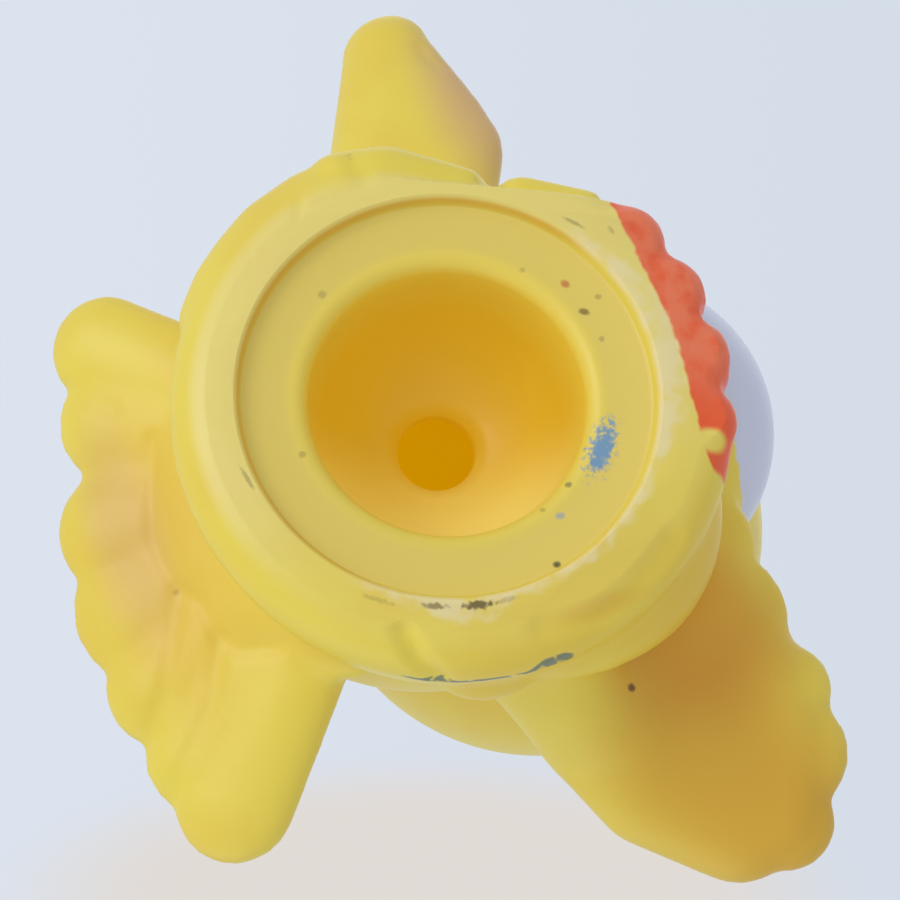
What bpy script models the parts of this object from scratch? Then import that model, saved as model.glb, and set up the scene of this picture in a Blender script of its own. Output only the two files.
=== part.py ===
"""A rubber hen: one hollow moulded skin of soft rubber that stands on a round foot ring.

The hen faces -Y, +Z is up, +X is on its left-hand wing side, and the foot ring stands on z = 0.
Everything is one piece: body, head, wings and tail are moulded together, with a sunk disc, a
deep round cup and a whistle hole underneath that opens into the hollow inside.
All sizes below are in millimetres and are turned into metres where a mesh is made.
"""

import math

import bmesh
import bpy
from mathutils import Matrix, Vector

MM = 0.001

# Foot: the round base that the hen stands on
FOOT_RADIUS = 38.6
FOOT_CENTRE = (0.4, -0.8)
FOOT_TOP = 14.0
FOOT_EDGE_WIDTH = 7.0
FOOT_EDGE_HEIGHT = 6.3
FOOT_EDGE_MIDDLE = 6.0
FOOT_EDGE_END = -80.0
FOOT_FLAT_DISTANCE = 31.0
FOOT_FLAT_DIRECTION = math.radians(202.0)

# Underside: sunk disc, cup and whistle hole
STEP_RADIUS = 28.5
STEP_DEPTH = 2.2
CUP_RADIUS = 19.0
CUP_LIP = 2.4
CUP_DEPTH = 26.0
CUP_DOME_START = 76.0
CUP_DOME_END = 4.0
HOLE_RADIUS = 5.5

# Skin
WALL = 2.6

# Body and head, as (centre, half sizes)
BODY_CENTRE = (-0.5, 0.0, 33.0)
BODY_HALF = (32.5, 34.5, 34.0)
RUMP_CENTRE = (-1.0, 12.0, 20.0)
RUMP_HALF = (27.0, 24.0, 9.5)
BREAST_CENTRE = (1.9, -27.4, 37.0)
BREAST_HALF = (23.8, 24.0, 23.5)
NEAR_THIGH_CENTRE = (15.0, -11.0, 16.0)
NEAR_THIGH_HALF = (24.8, 24.0, 13.0)
FAR_THIGH_BALLS = (((-36.9, 4.0, 10.5), (4.0, 4.2, 9.0)), ((-34.9, -3.0, 12.0), (5.6, 5.4, 11.0)),
                   ((-29.9, -13.2, 11.0), (3.4, 3.4, 9.0)), ((-20.0, -4.0, 14.0), (8.0, 12.0, 10.0)))
FAR_HEEL_BALLS = (((-27.5, -20.2, 9.5), (2.9, 3.4, 5.0)), ((-22.9, -28.8, 8.5), (2.0, 2.6, 4.5)))
HEAD_CENTRE = (1.5, -19.9, 72.0)
HEAD_RADIUS = 34.5

# Face and comb, plain forms
BEAK_ROOT = (1.5, -48.6, 77.0)
BEAK_TIP = (1.5, -54.6, 74.8)
BEAK_ROOT_RADIUS = 7.0
BEAK_TIP_RADIUS = 2.5
COMB_LOBES = 3
COMB_PITCH = 8.5
COMB_LOBE_HALF = (3.2, 5.6, 6.0)
COMB_RISE = 2.2

# Toes: scallops along the front of the foot
TOE_COUNT = 4
TOE_PITCH = math.radians(15.8)
TOE_RING = 33.4
TOE_HALF = (5.7, 6.0, 4.8)
TOE_HEIGHT = 3.6

# How far the wings and the tail reach from the foot's axis
NEAR_WING_REACH = 71.0
FAR_WING_REACH = 76.0
TAIL_REACH = 55.4

# Wings and tail as pads round discs, (centre, radius). A wing's discs give X, and the tail's give Y,
# as a share of that reach. The rest is in millimetres.
FEATHER_THICK = 4.2
BLADE_THICK = 5.2
NEAR_WING_BLADE = (((0.437, -10.0, 36.0), 11.0), ((0.338, -31.0, 28.0), 6.6), ((0.483, -30.6, 31.4), 8.6),
                   ((0.658, -37.3, 32.2), 4.2), ((0.775, -35.0, 35.1), 6.4), ((0.9, -32.7, 38.1), 4.4),
                   ((0.854, -26.0, 39.5), 9.7), ((0.744, -15.6, 41.3), 8.3), ((0.611, -9.8, 41.0), 6.8))
NEAR_WING_TIPS = (((0.338, -31.6, 28.0), 8.3), ((0.483, -30.6, 31.4), 10.9), ((0.658, -37.3, 32.2), 6.6),
                  ((0.775, -35.0, 35.1), 8.7), ((0.896, -31.9, 38.2), 7.2))
NEAR_WING_WEB = (((0.38, 2.0, 17.0), 7.0), ((0.451, -6.0, 26.0), 8.5), ((0.611, -9.8, 41.0), 7.0), ((0.648, -16.0, 39.5), 6.0))
NEAR_WING_WEB_ACROSS = (0.8, 0.25)
NEAR_WING_ROOT = (0.479, -15.0, 36.0)
NEAR_WING_ACROSS = (0.25, 0.35)
FAR_WING_BLADE = (((-0.421, -5.0, 36.0), 12.0), ((-0.53, -11.9, 38.4), 12.0), ((-0.689, -12.3, 41.4), 10.7),
                  ((-0.907, -16.4, 43.9), 6.9), ((-0.7, -17.2, 39.7), 9.6), ((-0.626, -17.4, 38.3), 10.2),
                  ((-0.816, -15.0, 43.0), 8.2))
FAR_WING_TIPS = (((-0.909, -16.4, 43.9), 7.2),)
FAR_WING_ROOT = (-0.684, -14.0, 41.0)
FAR_WING_ACROSS = (-0.25, 0.35)
TAIL_BLADE = (((-31.0, 0.668, 33.5), 5.4), ((-21.0, 0.697, 34.0), 6.6), ((-6.0, 0.769, 35.6), 6.6),
              ((6.0, 0.776, 35.8), 8.4), ((18.0, 0.783, 36.0), 6.4), ((29.0, 0.74, 35.0), 6.0),
              ((36.0, 0.686, 33.8), 6.8), ((25.6, 0.542, 30.6), 7.0), ((-22.6, 0.536, 30.5), 7.2),
              ((0.0, 0.325, 25.0), 14.0))
TAIL_BLADE_THICK = 3.6
TAIL_TIPS = (((-32.2, 0.718, 34.5), 8.1), ((-21.1, 0.735, 34.9), 9.5), ((-5.9, 0.823, 36.8), 9.4),
             ((6.1, 0.81, 36.6), 11.5), ((18.0, 0.834, 37.1), 8.9), ((29.2, 0.796, 36.3), 8.5),
             ((37.2, 0.753, 35.3), 9.1))
COVERTS = (((-7.6, 0.552, 27.8), 9.2), ((3.6, 0.57, 28.2), 10.6), ((-20.0, 0.361, 22.0), 9.0),
           ((20.0, 0.361, 22.0), 9.0))
COVERT_LOBE = (((12.2, 0.563, 28.1), 7.4), ((14.0, 0.325, 22.0), 9.0))
TAIL_ROOT_SPREAD = 0.42
TAIL_ROOT_Y = 22.0
TAIL_ROOT_Z = 25.0
TAIL_ROOT_RADIUS = 7.5
TAIL_ACROSS = (0.0, 0.4)

# Skin mesh
VOXEL = 1.15
SMOOTH_ROUNDS = 5
SKIN_TRIANGLES = 5800

# The block that cuts the foot flat
GROUND_BLOCK = (120.0, 120.0, 10.0)

NAME = "rubber_hen"


def clear_scene():
    """Take every object out of the scene."""
    for obj in list(bpy.data.objects):
        bpy.data.objects.remove(obj, do_unlink=True)


def collection(name):
    """A collection of that name in the scene."""
    made = bpy.data.collections.new(name)
    bpy.context.scene.collection.children.link(made)
    return made


def object_from(bm, name, home):
    """The mesh in bm as a named object in a collection."""
    mesh = bpy.data.meshes.new(name)
    bm.to_mesh(mesh)
    bm.free()
    obj = bpy.data.objects.new(name, mesh)
    home.objects.link(obj)
    return obj


def ellipsoid(name, centre, half, home, segments=40, rings=24):
    """A closed ellipsoid from a sphere, at its centre with its three half sizes."""
    bm = bmesh.new()
    bmesh.ops.create_uvsphere(bm, u_segments=segments, v_segments=rings, radius=1.0)
    bmesh.ops.scale(bm, vec=[h * MM for h in half], verts=bm.verts)
    bmesh.ops.translate(bm, vec=[c * MM for c in centre], verts=bm.verts)
    return object_from(bm, name, home)


def pad(name, discs, across, home, thick=FEATHER_THICK):
    """A flat puffy pad: the hull round flattened spheres, lying in a plane with slopes across."""
    bm = bmesh.new()
    normal = Vector((-across[0], -across[1], 1.0)).normalized()
    turn = Vector((0.0, 0.0, 1.0)).rotation_difference(normal).to_matrix().to_4x4()
    for centre, radius in discs:
        flat = Matrix.Diagonal((radius * MM, radius * MM, thick * MM, 1.0))
        place = Matrix.Translation(Vector(centre) * MM) @ turn @ flat
        bmesh.ops.create_uvsphere(bm, u_segments=28, v_segments=16, radius=1.0, matrix=place)
    hull = bmesh.ops.convex_hull(bm, input=bm.verts)
    inside = [v for v in hull["geom_interior"] + hull["geom_unused"] if isinstance(v, bmesh.types.BMVert)]
    bmesh.ops.delete(bm, geom=list(set(inside)), context="VERTS")
    keep = {f for f in hull["geom"] if isinstance(f, bmesh.types.BMFace)}
    stray = [f for f in bm.faces if f not in keep]
    bmesh.ops.delete(bm, geom=stray, context="FACES")
    bmesh.ops.recalc_face_normals(bm, faces=bm.faces)
    return object_from(bm, name, home)


def turned(name, profile, home, steps=48):
    """A solid turned about Z from a profile of (radius, height), listed from the top down."""
    bm = bmesh.new()
    points = [bm.verts.new((r * MM, 0.0, z * MM)) for r, z in profile]
    for a, b in zip(points, points[1:]):
        bm.edges.new((a, b))
    obj = object_from(bm, name, home)
    screw = obj.modifiers.new("turn", "SCREW")
    screw.steps = steps
    screw.render_steps = steps
    screw.use_merge_vertices = True
    screw.merge_threshold = 0.00001
    return obj


def arc(centre, half, start, end, count):
    """Points on an elliptical arc in the profile plane, angles in degrees from +radius to +height."""
    found = []
    for i in range(count):
        t = math.radians(start + (end - start) * i / (count - 1))
        found.append((centre[0] + half[0] * math.cos(t), centre[1] + half[1] * math.sin(t)))
    return found


def rubber_material():
    """Soft yellow moulded rubber."""
    material = bpy.data.materials.new("yellow rubber")
    material.use_nodes = True
    shader = material.node_tree.nodes["Principled BSDF"]
    shader.inputs["Base Color"].default_value = (0.78, 0.56, 0.07, 1.0)
    shader.inputs["Roughness"].default_value = 0.38
    shader.inputs["Metallic"].default_value = 0.0
    return material


def foot_form(home):
    """The turned foot with its soft lower edge, flattened on the far side, a little below z = 0."""
    edge = arc((FOOT_RADIUS - FOOT_EDGE_WIDTH, FOOT_EDGE_MIDDLE), (FOOT_EDGE_WIDTH, FOOT_EDGE_HEIGHT), 0.0, FOOT_EDGE_END, 9)
    profile = [(0.0, FOOT_TOP), (FOOT_RADIUS - 1.6, FOOT_TOP)] + edge + [(STEP_RADIUS, -1.2), (0.0, -1.2)]
    foot = turned("foot form", profile, home, 96)
    fixed(foot)
    side = Vector((math.cos(FOOT_FLAT_DIRECTION), math.sin(FOOT_FLAT_DIRECTION), 0.0))
    for vert in foot.data.vertices:
        beyond = vert.co.dot(side) - FOOT_FLAT_DISTANCE * MM
        if beyond > 0.0:
            vert.co -= side * beyond
        vert.co += Vector((FOOT_CENTRE[0], FOOT_CENTRE[1], 0.0)) * MM
    return foot


def toe_forms(home):
    """Four scallops side by side round the front of the foot."""
    made = []
    for i in range(TOE_COUNT):
        angle = (i - (TOE_COUNT - 1) / 2.0) * TOE_PITCH
        centre = (TOE_RING * math.sin(angle), -TOE_RING * math.cos(angle), TOE_HEIGHT)
        toe = ellipsoid("toe form", (0.0, 0.0, 0.0), TOE_HALF, home, 20, 12)
        toe.matrix_world = Matrix.Translation(Vector(centre) * MM) @ Matrix.Rotation(angle, 4, "Z")
        made.append(toe)
    return made


def round_hull(name, balls, home):
    """One convex form stretched round a few ellipsoids, each given as (centre, half sizes)."""
    bm = bmesh.new()
    for centre, half in balls:
        place = Matrix.Translation(Vector(centre) * MM) @ Matrix.Diagonal((half[0] * MM, half[1] * MM, half[2] * MM, 1.0))
        bmesh.ops.create_uvsphere(bm, u_segments=20, v_segments=12, radius=1.0, matrix=place)
    hull = bmesh.ops.convex_hull(bm, input=bm.verts)
    keep = {f for f in hull["geom"] if isinstance(f, bmesh.types.BMFace)}
    bmesh.ops.delete(bm, geom=[f for f in bm.faces if f not in keep], context="FACES")
    bmesh.ops.delete(bm, geom=[v for v in bm.verts if not v.link_faces], context="VERTS")
    bmesh.ops.recalc_face_normals(bm, faces=bm.faces)
    return object_from(bm, name, home)


def head_forms(home):
    """Round head with a short plain beak and a low comb of three lobes."""
    made = [ellipsoid("head form", HEAD_CENTRE, (HEAD_RADIUS,) * 3, home)]
    beak = ((BEAK_ROOT, (BEAK_ROOT_RADIUS,) * 3), (BEAK_TIP, (BEAK_TIP_RADIUS,) * 3))
    made.append(round_hull("beak form", beak, home))
    for i in range(COMB_LOBES):
        offset = (i - (COMB_LOBES - 1) / 2.0) * COMB_PITCH
        lean = offset / HEAD_RADIUS
        centre = (HEAD_CENTRE[0], HEAD_CENTRE[1] - 4.0 + (HEAD_RADIUS + COMB_RISE) * math.sin(lean),
                  HEAD_CENTRE[2] + (HEAD_RADIUS + COMB_RISE) * math.cos(lean) - 1.5)
        made.append(ellipsoid("comb form", centre, COMB_LOBE_HALF, home, 20, 12))
    return made


def reached(point, axis, reach):
    """A point whose place along one axis is given as a share of a reach, in millimetres."""
    found = list(point)
    found[axis] *= reach
    return tuple(found)


def reached_discs(discs, axis, reach):
    """Discs with their centres placed by a reach, as reached does for a point."""
    return tuple((reached(centre, axis, reach), radius) for centre, radius in discs)


def wing_forms(name, blade, root, tips, across, home):
    """One wing: a broad puffy blade with a row of rounded feather ends along its lower edge."""
    made = [pad(name + " blade", blade, across, home, BLADE_THICK)]
    for tip, radius in tips:
        mid = tuple(r + (t - r) * 0.55 for r, t in zip(root, tip))
        made.append(pad(name + " feather", ((mid, radius * 0.8), (tip, radius)), across, home))
    return made


def tail_forms(home):
    """Seven broad feathers and their coverts that fan out behind the rump, over a thinner blade."""
    made = [pad("tail blade", reached_discs(TAIL_BLADE, 1, TAIL_REACH), TAIL_ACROSS, home, TAIL_BLADE_THICK)]
    for discs in (COVERTS, COVERT_LOBE):
        made.append(pad("coverts", reached_discs(discs, 1, TAIL_REACH), TAIL_ACROSS, home))
    for tip, radius in reached_discs(TAIL_TIPS, 1, TAIL_REACH):
        root = (tip[0] * TAIL_ROOT_SPREAD, TAIL_ROOT_Y, TAIL_ROOT_Z)
        made.append(pad("tail feather", ((root, TAIL_ROOT_RADIUS), (tip, radius)), TAIL_ACROSS, home))
    return made


def body_forms(home):
    """Round body with its rump, breast and the two unlike thigh bulges above the foot."""
    return [
        ellipsoid("body form", BODY_CENTRE, BODY_HALF, home),
        ellipsoid("rump form", RUMP_CENTRE, RUMP_HALF, home),
        ellipsoid("breast form", BREAST_CENTRE, BREAST_HALF, home),
        ellipsoid("near thigh form", NEAR_THIGH_CENTRE, NEAR_THIGH_HALF, home),
        round_hull("far thigh form", FAR_THIGH_BALLS, home),
        round_hull("far heel form", FAR_HEEL_BALLS, home),
    ]


def joined_skin(forms, home):
    """All forms grown together into one smooth closed skin."""
    graph = bpy.context.evaluated_depsgraph_get()
    graph.update()
    bm = bmesh.new()
    for form in forms:
        mesh = bpy.data.meshes.new_from_object(form.evaluated_get(graph))
        mesh.transform(form.matrix_world)
        bm.from_mesh(mesh)
        bpy.data.meshes.remove(mesh)
    for form in forms:
        bpy.data.objects.remove(form, do_unlink=True)
    skin = object_from(bm, NAME, home)
    remesh = skin.modifiers.new("grow together", "REMESH")
    remesh.mode = "VOXEL"
    remesh.voxel_size = VOXEL * MM
    smooth = skin.modifiers.new("soften", "SMOOTH")
    smooth.factor = 0.5
    smooth.iterations = int(SMOOTH_ROUNDS)
    fixed(skin)
    thin = skin.modifiers.new("fewer faces", "DECIMATE")
    thin.ratio = SKIN_TRIANGLES / (2.0 * len(skin.data.polygons))
    fixed(skin)
    return skin


def fixed(obj):
    """Turn an object's modifiers into its mesh."""
    graph = bpy.context.evaluated_depsgraph_get()
    graph.update()
    mesh = bpy.data.meshes.new_from_object(obj.evaluated_get(graph))
    obj.modifiers.clear()
    obj.data = mesh


def underside_cutter(home):
    """What is sunk into the underside: the shallow disc, the cup with its round lip and the hole."""
    lip = arc((CUP_RADIUS + CUP_LIP, STEP_DEPTH + CUP_LIP), (CUP_LIP, CUP_LIP), 180.0, 270.0, 5)
    base = STEP_DEPTH + CUP_LIP
    dome = arc((0.0, base), (CUP_RADIUS, CUP_DEPTH - base), CUP_DOME_START, CUP_DOME_END, 9)
    profile = [(0.0, CUP_DEPTH + 14.0), (HOLE_RADIUS, CUP_DEPTH + 14.0), (HOLE_RADIUS, CUP_DEPTH - 0.2)]
    profile += dome + lip + [(STEP_RADIUS, STEP_DEPTH), (STEP_RADIUS, -6.0), (0.0, -6.0)]
    return turned("underside cutter", profile, home)


def hollow_cutter(home):
    """The hollow inside: body and head less the wall, clear of the cup and the foot floor."""
    body_half = tuple(h - WALL for h in BODY_HALF)
    hollow = ellipsoid("hollow cutter", BODY_CENTRE, body_half, home, 36, 20)
    head = ellipsoid("head hollow", HEAD_CENTRE, (HEAD_RADIUS - WALL,) * 3, home, 36, 20)
    base = STEP_DEPTH + CUP_LIP
    crown = arc((0.0, base), (CUP_RADIUS + WALL, CUP_DEPTH + WALL - base), 70.0, 8.0, 9)
    floor = STEP_DEPTH + WALL + 0.6
    profile = [(0.0, CUP_DEPTH + WALL)] + crown + [(CUP_RADIUS + WALL + 1.5, floor), (FOOT_RADIUS, floor)]
    profile += [(FOOT_RADIUS, -8.0), (0.0, -8.0)]
    plug = turned("cup wall", profile, home, 48)
    for other, kind in ((head, "UNION"), (plug, "DIFFERENCE")):
        change = hollow.modifiers.new(other.name, "BOOLEAN")
        change.operation = kind
        change.solver = "EXACT"
        change.object = other
    fixed(hollow)
    bpy.data.objects.remove(head, do_unlink=True)
    bpy.data.objects.remove(plug, do_unlink=True)
    return hollow


def ground_cutter(home):
    """A block that cuts the foot ring flat at z = 0."""
    bm = bmesh.new()
    bmesh.ops.create_cube(bm, size=1.0)
    bmesh.ops.scale(bm, vec=[size * MM for size in GROUND_BLOCK], verts=bm.verts)
    bmesh.ops.translate(bm, vec=(0.0, 0.0, -GROUND_BLOCK[2] * MM / 2.0), verts=bm.verts)
    return object_from(bm, "ground cutter", home)


def centre_over_origin(hen, others):
    """Hang everything on one empty so that the hen's box stands centred on the origin."""
    low = [min(v.co[axis] for v in hen.data.vertices) for axis in range(2)]
    high = [max(v.co[axis] for v in hen.data.vertices) for axis in range(2)]
    anchor = bpy.data.objects.new("hen frame", None)
    bpy.context.scene.collection.objects.link(anchor)
    anchor.location = (-(low[0] + high[0]) / 2.0, -(low[1] + high[1]) / 2.0, 0.0)
    for obj in [hen] + others:
        obj.parent = anchor


def build_hen():
    """Model the whole hen as one skin, cut its underside and hollow it."""
    clear_scene()
    parts = collection("rubber hen")
    cutters = collection("cutters")
    forms = [foot_form(cutters)] + toe_forms(cutters) + body_forms(cutters) + head_forms(cutters)
    near, far = NEAR_WING_REACH, FAR_WING_REACH
    forms += wing_forms("near wing", reached_discs(NEAR_WING_BLADE, 0, near), reached(NEAR_WING_ROOT, 0, near),
                        reached_discs(NEAR_WING_TIPS, 0, near), NEAR_WING_ACROSS, cutters)
    forms.append(pad("near wing web", reached_discs(NEAR_WING_WEB, 0, near), NEAR_WING_WEB_ACROSS, cutters, BLADE_THICK))
    forms += wing_forms("far wing", reached_discs(FAR_WING_BLADE, 0, far), reached(FAR_WING_ROOT, 0, far),
                        reached_discs(FAR_WING_TIPS, 0, far), FAR_WING_ACROSS, cutters)
    forms += tail_forms(cutters)
    hen = joined_skin(forms, parts)
    tools = [ground_cutter(cutters), hollow_cutter(cutters), underside_cutter(cutters)]
    for cutter in tools:
        cutter.hide_render = True
        cutter.display_type = "WIRE"
        cut = hen.modifiers.new(cutter.name, "BOOLEAN")
        cut.operation = "DIFFERENCE"
        cut.solver = "EXACT"
        cut.object = cutter
    centre_over_origin(hen, tools)
    hen.data.materials.clear()
    hen.data.materials.append(rubber_material())
    hen.data.shade_smooth()
    hen.data.set_sharp_from_angle(angle=math.radians(50.0))
    return hen


build_hen()
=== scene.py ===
"""A hollow yellow rubber hen, seen from underneath as in the photograph, with worn paint.

The hen is one moulded skin. Its forms are modelled one by one (foot, toes, body, head, wings and
tail), grown together into one surface, creased, hollowed and cut underneath, and then painted.
"""

import logging
import math
from dataclasses import dataclass, field
from enum import Enum

import bpy
from mathutils import Matrix, Vector
from mathutils.kdtree import KDTree


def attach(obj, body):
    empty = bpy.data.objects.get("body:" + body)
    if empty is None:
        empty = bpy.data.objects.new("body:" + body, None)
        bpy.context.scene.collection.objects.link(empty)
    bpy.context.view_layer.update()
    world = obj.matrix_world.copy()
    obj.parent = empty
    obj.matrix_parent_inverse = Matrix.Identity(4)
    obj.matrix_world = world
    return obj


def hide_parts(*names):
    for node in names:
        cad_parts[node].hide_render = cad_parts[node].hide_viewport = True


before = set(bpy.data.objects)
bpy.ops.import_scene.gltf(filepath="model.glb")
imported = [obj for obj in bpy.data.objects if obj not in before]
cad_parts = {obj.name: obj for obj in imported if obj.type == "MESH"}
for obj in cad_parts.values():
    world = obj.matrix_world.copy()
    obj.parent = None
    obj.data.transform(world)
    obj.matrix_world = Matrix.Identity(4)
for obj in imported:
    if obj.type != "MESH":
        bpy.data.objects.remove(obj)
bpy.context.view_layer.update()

log = logging.getLogger("rubber_hen")
MM = 0.001

# The foot's axis stands here in the row's frame, in millimetres
FOOT_AXIS = Vector((2.815, 0.641, 0.0))

# A disc is a centre and a radius, a form is a centre and half sizes, all in millimetres
Pair = tuple[float, float]
Point = tuple[float, float, float]
Colour = tuple[float, float, float]
Disc = tuple[Point, float]
Form = tuple[Point, Point]
Socket = bpy.types.NodeSocket

# Settings of the modelling tools, in metres where they are lengths
WELD_DISTANCE = 0.000002
GROOVE_STEP = 0.4 * MM
GROUND_BLOCK = (0.12, 0.12, 0.01)

# Faces round a form, fewer where the form is small
HEAD_SEGMENTS = 72
BALL_SEGMENTS = 56
PAD_SEGMENTS = 40
PAD_RINGS = 22
TOE_SEGMENTS = 32
SMALL_SEGMENTS = 24


class Side(Enum):
    """Which of the hen's two wings."""

    NEAR = "near"
    FAR = "far"


def place(point: Point | Vector) -> Vector:
    """Turn millimetres from the foot's axis into the row's metres."""
    return (Vector(point) + FOOT_AXIS) * MM


def linear(red: float, green: float, blue: float) -> tuple[float, float, float, float]:
    """Turn a colour as read on a screen, 0 to 255, into Blender's linear colour.

    Args:
        red: Screen red.
        green: Screen green.
        blue: Screen blue.

    Returns:
        Linear red, green, blue and an alpha of one.
    """
    found = []
    for value in (red, green, blue):
        part = value / 255.0
        found.append(part / 12.92 if part <= 0.04045 else ((part + 0.055) / 1.055) ** 2.4)
    return (found[0], found[1], found[2], 1.0)


def radians(first: float, second: float) -> Pair:
    """Turn two angles from degrees into radians."""
    return (math.radians(first), math.radians(second))


def shifted(pair: Pair, start: float) -> Pair:
    """Move both ends of a pair by a start."""
    return (start + pair[0], start + pair[1])


def select_only(*pieces: bpy.types.Object) -> None:
    """Leave only these pieces selected, the first one active.

    Args:
        *pieces: The pieces to select.
    """
    bpy.ops.object.select_all(action="DESELECT")
    for piece in pieces:
        piece.select_set(True)
    bpy.context.view_layer.objects.active = pieces[0]


def freeze(piece: bpy.types.Object) -> bpy.types.Object:
    """Put a piece's place, turn and scale into its mesh.

    Args:
        piece: The piece to freeze.

    Returns:
        The same piece.
    """
    select_only(piece)
    bpy.ops.object.transform_apply(location=True, rotation=True, scale=True)
    return piece


def apply_modifier(piece: bpy.types.Object, kind: str, **settings: object) -> None:
    """Add one modifier with its settings and apply it.

    Args:
        piece: The object that takes the modifier.
        kind: Blender's name of the modifier type.
        **settings: Values set on the modifier.
    """
    modifier = piece.modifiers.new(kind.lower(), kind)
    for name, value in settings.items():
        setattr(modifier, name, value)
    select_only(piece)
    bpy.ops.object.modifier_apply(modifier=modifier.name)


def joined(name: str, pieces: list[bpy.types.Object]) -> bpy.types.Object:
    """Join pieces into one object of that name.

    Args:
        name: Name of the joined object.
        pieces: The pieces to join.

    Returns:
        The joined object.
    """
    select_only(*pieces)
    if len(pieces) > 1:
        bpy.ops.object.join()
    whole = bpy.context.view_layer.objects.active
    whole.name = name
    return whole


def ball(
    name: str, centre: Point, half: Point, turn: float = 0.0, segments: int = BALL_SEGMENTS
) -> bpy.types.Object:
    """A sphere stretched to three half sizes.

    Args:
        name: Object name.
        centre: Centre in millimetres from the foot's axis.
        half: Half sizes in millimetres.
        turn: Turn about Z in radians.
        segments: Faces round the middle.

    Returns:
        The closed form with its place in its mesh.
    """
    bpy.ops.object.select_all(action="DESELECT")
    bpy.ops.mesh.primitive_uv_sphere_add(
        segments=segments, ring_count=segments // 2, radius=MM, location=place(centre)
    )
    form = bpy.context.object
    form.name = name
    form.rotation_euler = (0.0, 0.0, turn)
    form.scale = half
    return freeze(form)


def hull_of(name: str, pieces: list[bpy.types.Object]) -> bpy.types.Object:
    """Join pieces and stretch one convex skin round them.

    Args:
        name: Name of the hull.
        pieces: The pieces inside it.

    Returns:
        The closed hull.
    """
    whole = joined(name, pieces)
    bpy.ops.object.mode_set(mode="EDIT")
    bpy.ops.mesh.select_all(action="SELECT")
    bpy.ops.mesh.convex_hull()
    bpy.ops.mesh.select_all(action="SELECT")
    bpy.ops.mesh.normals_make_consistent(inside=False)
    bpy.ops.object.mode_set(mode="OBJECT")
    return whole


def pad(name: str, discs: tuple[Disc, ...], slope: Pair, thick: float) -> bpy.types.Object:
    """A flat puffy pad round a few flattened spheres.

    Args:
        name: Object name.
        discs: Centre and radius of each flattened sphere, in millimetres.
        slope: Rise of the pad's plane along X and along Y.
        thick: Half thickness in millimetres.

    Returns:
        The closed pad.
    """
    normal = Vector((-slope[0], -slope[1], 1.0)).normalized()
    turn = Vector((0.0, 0.0, 1.0)).rotation_difference(normal)
    made = []
    for centre, radius in discs:
        bpy.ops.object.select_all(action="DESELECT")
        bpy.ops.mesh.primitive_uv_sphere_add(
            segments=PAD_SEGMENTS, ring_count=PAD_RINGS, radius=MM, location=place(centre)
        )
        disc = bpy.context.object
        disc.rotation_mode = "QUATERNION"
        disc.rotation_quaternion = turn
        disc.scale = (radius, radius, thick)
        made.append(freeze(disc))
    return hull_of(name, made)


def turned(
    name: str, profile: list[Pair], steps: int = 180, axis: Point = (0.0, 0.0, 0.0)
) -> bpy.types.Object:
    """Spin a profile of (radius, height) points about an upright axis.

    Args:
        name: Object name.
        profile: Points in millimetres, from the top down, with both ends on the axis.
        steps: Steps round the full turn.
        axis: Place of the axis in millimetres.

    Returns:
        The closed turned form.
    """
    bpy.ops.object.select_all(action="DESELECT")
    bpy.ops.mesh.primitive_plane_add(size=MM, location=(0.0, 0.0, 0.0))
    form = bpy.context.object
    form.name = name
    bpy.ops.object.mode_set(mode="EDIT")
    bpy.ops.mesh.select_all(action="SELECT")
    bpy.ops.mesh.merge(type="CENTER")
    first = place((axis[0] + profile[0][0], axis[1], profile[0][1]))
    bpy.ops.transform.translate(value=first)
    for before, after in zip(profile, profile[1:]):
        step = ((after[0] - before[0]) * MM, 0.0, (after[1] - before[1]) * MM)
        bpy.ops.mesh.extrude_region_move(TRANSFORM_OT_translate={"value": step})
    bpy.ops.mesh.select_all(action="SELECT")
    bpy.ops.mesh.spin(steps=steps, angle=math.tau, center=place(axis), axis=(0.0, 0.0, 1.0))
    bpy.ops.mesh.select_all(action="SELECT")
    bpy.ops.mesh.remove_doubles(threshold=WELD_DISTANCE)
    bpy.ops.mesh.normals_make_consistent(inside=False)
    bpy.ops.object.mode_set(mode="OBJECT")
    return form


def arc(centre: Pair, half: Pair, start: float, end: float, count: int) -> list[Pair]:
    """Points of (radius, height) on an elliptical arc.

    Args:
        centre: Centre as (radius, height).
        half: Half sizes as (radius, height).
        start: First angle in degrees, from outward towards up.
        end: Last angle in degrees.
        count: Number of points.

    Returns:
        The points in order.
    """
    found = []
    for index in range(count):
        angle = math.radians(start + (end - start) * index / (count - 1))
        found.append((centre[0] + half[0] * math.cos(angle), centre[1] + half[1] * math.sin(angle)))
    return found


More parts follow.
